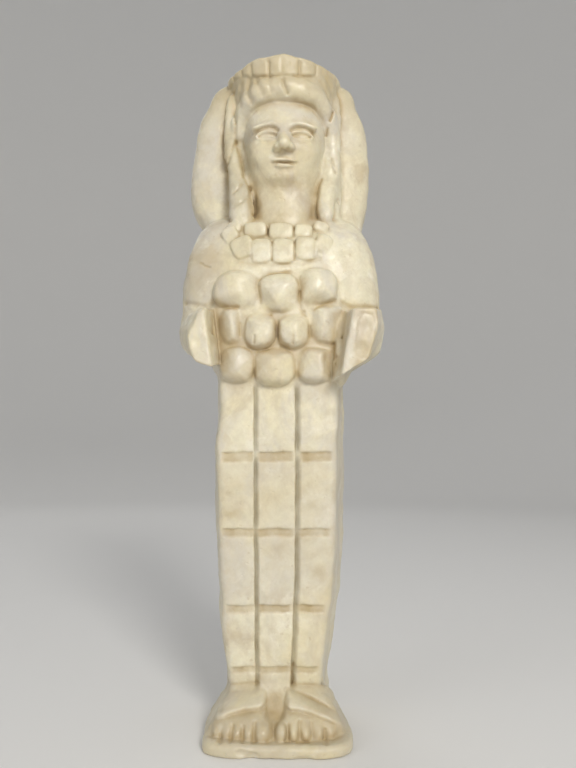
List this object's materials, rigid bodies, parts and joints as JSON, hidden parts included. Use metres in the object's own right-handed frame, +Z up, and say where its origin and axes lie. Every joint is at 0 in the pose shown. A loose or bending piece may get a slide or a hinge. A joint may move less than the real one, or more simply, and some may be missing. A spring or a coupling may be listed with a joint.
{
  "type": "carved stone figurine",
  "caption": "Standing stone figurine of a many-breasted goddess with crown and veil, panelled sheath for legs, forward forearms broken at the wrists, feet on a low plinth.",
  "frame": {"origin": "centre of the bounding box in plan, at the plinth's flat underside", "axes": "+Z up along the figure from plinth to crown; the figure faces -Y, with its flat back towards +Y; +X to the viewer's right"},
  "size_m": [0.0786, 0.054, 0.25],
  "materials": {
    "stone": "satin, ivory marble with tan patina in the carving"
  },
  "bodies": {
    "root": {"figurine": "stone"}
  },
  "joints": []
}
